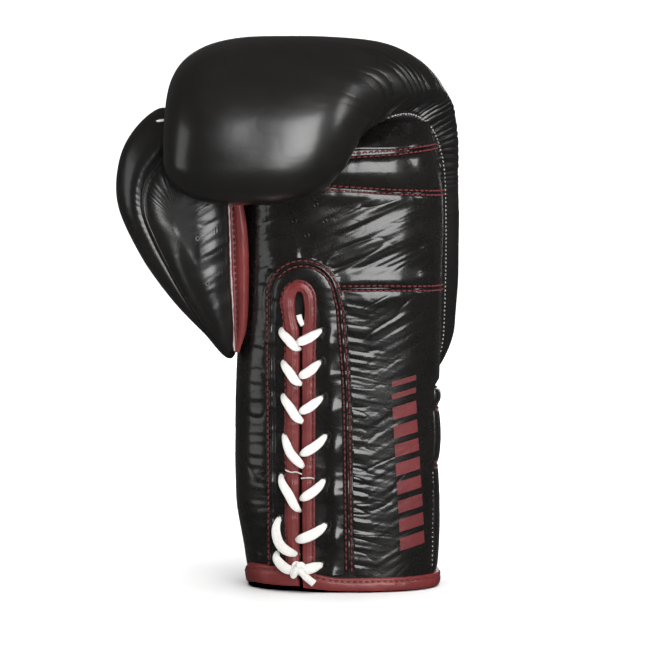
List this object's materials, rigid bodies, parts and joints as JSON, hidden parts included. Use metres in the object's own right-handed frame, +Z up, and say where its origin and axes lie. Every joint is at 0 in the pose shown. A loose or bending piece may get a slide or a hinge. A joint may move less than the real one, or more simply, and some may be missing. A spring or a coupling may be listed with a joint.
{
  "type": "boxing glove",
  "caption": "Lace-up leather boxing glove for the left hand, standing on its cuff, with a curled padded finger roll and a padded thumb.",
  "frame": {"origin": "middle of the bottom of the whole glove's box, on the surface that the hem stands on", "axes": "+Z up along the arm towards the knuckles, palm and lacing towards -Y, thumb towards -X"},
  "size_m": [0.194, 0.13, 0.31],
  "materials": {
    "shell_leather": "glossy black full-grain leather",
    "trim_leather": "semi-gloss maroon leather binding",
    "lace_cotton": "flat woven cotton lace",
    "lining_cloth": "matt woven lining",
    "foam": "layered padding foam",
    "thread": "waxed maroon sewing thread",
    "thread_pale": "pale sewing thread",
    "print": "maroon screen print"
  },
  "bodies": {
    "cuff": {"hem_binding": "trim_leather", "cuff_thumb_side_leather": "shell_leather", "cuff_finger_side_leather": "shell_leather", "cuff_back_leather": "shell_leather", "cuff_thumb_side_foam": "foam", "cuff_finger_side_foam": "foam", "cuff_back_foam_low": "foam", "cuff_back_foam_middle": "foam", "cuff_back_foam_top": "foam", "cuff_lining": "lining_cloth", "slit_binding": "trim_leather", "lace": "lace_cotton", "lace_knot": "lace_cotton", "lace_tail": "lace_cotton", "wrist_break_leather": "shell_leather"},
    "mitt": {"heel_foam_thumb_side": "foam", "heel_foam_finger_side": "foam", "palm_foam": "foam", "grip_bar": "foam", "palm_leather": "shell_leather", "grip_bar_leather": "shell_leather", "finger_palm_leather": "shell_leather", "thumb_web_piping": "trim_leather", "palm_lining": "lining_cloth", "back_lining": "lining_cloth", "back_foam_inner": "foam", "back_foam_outer": "foam", "mitt_leather": "shell_leather"},
    "fingers": {"roll_foam_inner": "foam", "roll_foam_outer": "foam", "fingertip_lining": "lining_cloth"},
    "thumb": {"thumb_back_leather": "shell_leather", "thumb_palm_leather": "shell_leather", "thumb_foam": "foam", "thumb_lining": "lining_cloth", "thumb_lock_strap": "lace_cotton"}
  },
  "joints": [
    {"name": "wrist_bend", "type": "hinge", "parent": "cuff", "child": "mitt", "pos_m": [0.0304, -0.023, 0.115], "axis": [1, 0, 0], "range_deg": [-2, 10], "stiffness_Nm_per_rad": 4, "deforming": ["cuff_thumb_side_leather", "cuff_finger_side_leather", "slit_binding", "lace", "wrist_break_leather"]},
    {"name": "finger_curl", "type": "hinge", "parent": "mitt", "child": "fingers", "pos_m": [0.0304, -0.0041, 0.31], "axis": [-1, 0, 0], "range_deg": [0, 15], "stiffness_Nm_per_rad": 2, "deforming": ["mitt_leather"]},
    {"name": "thumb_lean", "type": "hinge", "parent": "mitt", "child": "thumb", "pos_m": [-0.0306, -0.0011, 0.132], "axis": [1, 0, 0], "range_deg": [0, 5.4], "stiffness_Nm_per_rad": 0.5, "deforming": ["thumb_lock_strap"]}
  ],
  "couplings": [
    {"joint": "thumb_lean", "follows": "finger_curl", "ratio": 0.35}
  ]
}
